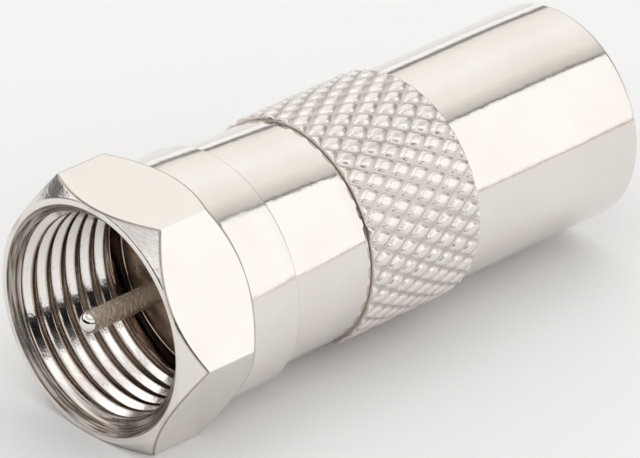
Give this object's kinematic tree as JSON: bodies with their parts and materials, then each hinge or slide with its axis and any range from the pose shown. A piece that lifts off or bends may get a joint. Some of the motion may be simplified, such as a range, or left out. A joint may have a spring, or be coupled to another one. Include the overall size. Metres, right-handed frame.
{
  "type": "f plug to aerial plug adapter",
  "caption": "Straight coaxial adapter: F plug with a captive hexagon nut at one end, knurled body and plain-sleeve aerial plug at the other.",
  "frame": {"origin": "centre of the coupling nut's front face, where the mating F socket enters", "axes": "+X along the axis from the F plug to the aerial plug, +Z square to two flats of the hexagon nut, +Y to the side"},
  "size_m": [0.0273, 0.0122, 0.0106],
  "materials": {
    "nickel": "bright nickel plate on turned brass",
    "contact": "bright nickel plate on a drawn or turned contact",
    "polythene": "natural milky polythene"
  },
  "bodies": {
    "adapter": {"front_post": "nickel", "front_insulator": "polythene", "front_shell": "nickel", "rear_shell": "nickel", "rear_insulator": "polythene", "needle": "contact", "aerial_pin": "contact"},
    "nut": {"coupling_nut": "nickel"}
  },
  "joints": [
    {"name": "nut_spin", "type": "hinge", "parent": "adapter", "child": "nut", "pos_m": [0.0064, 0, 0], "axis": [1, 0, 0], "continuous": true}
  ]
}
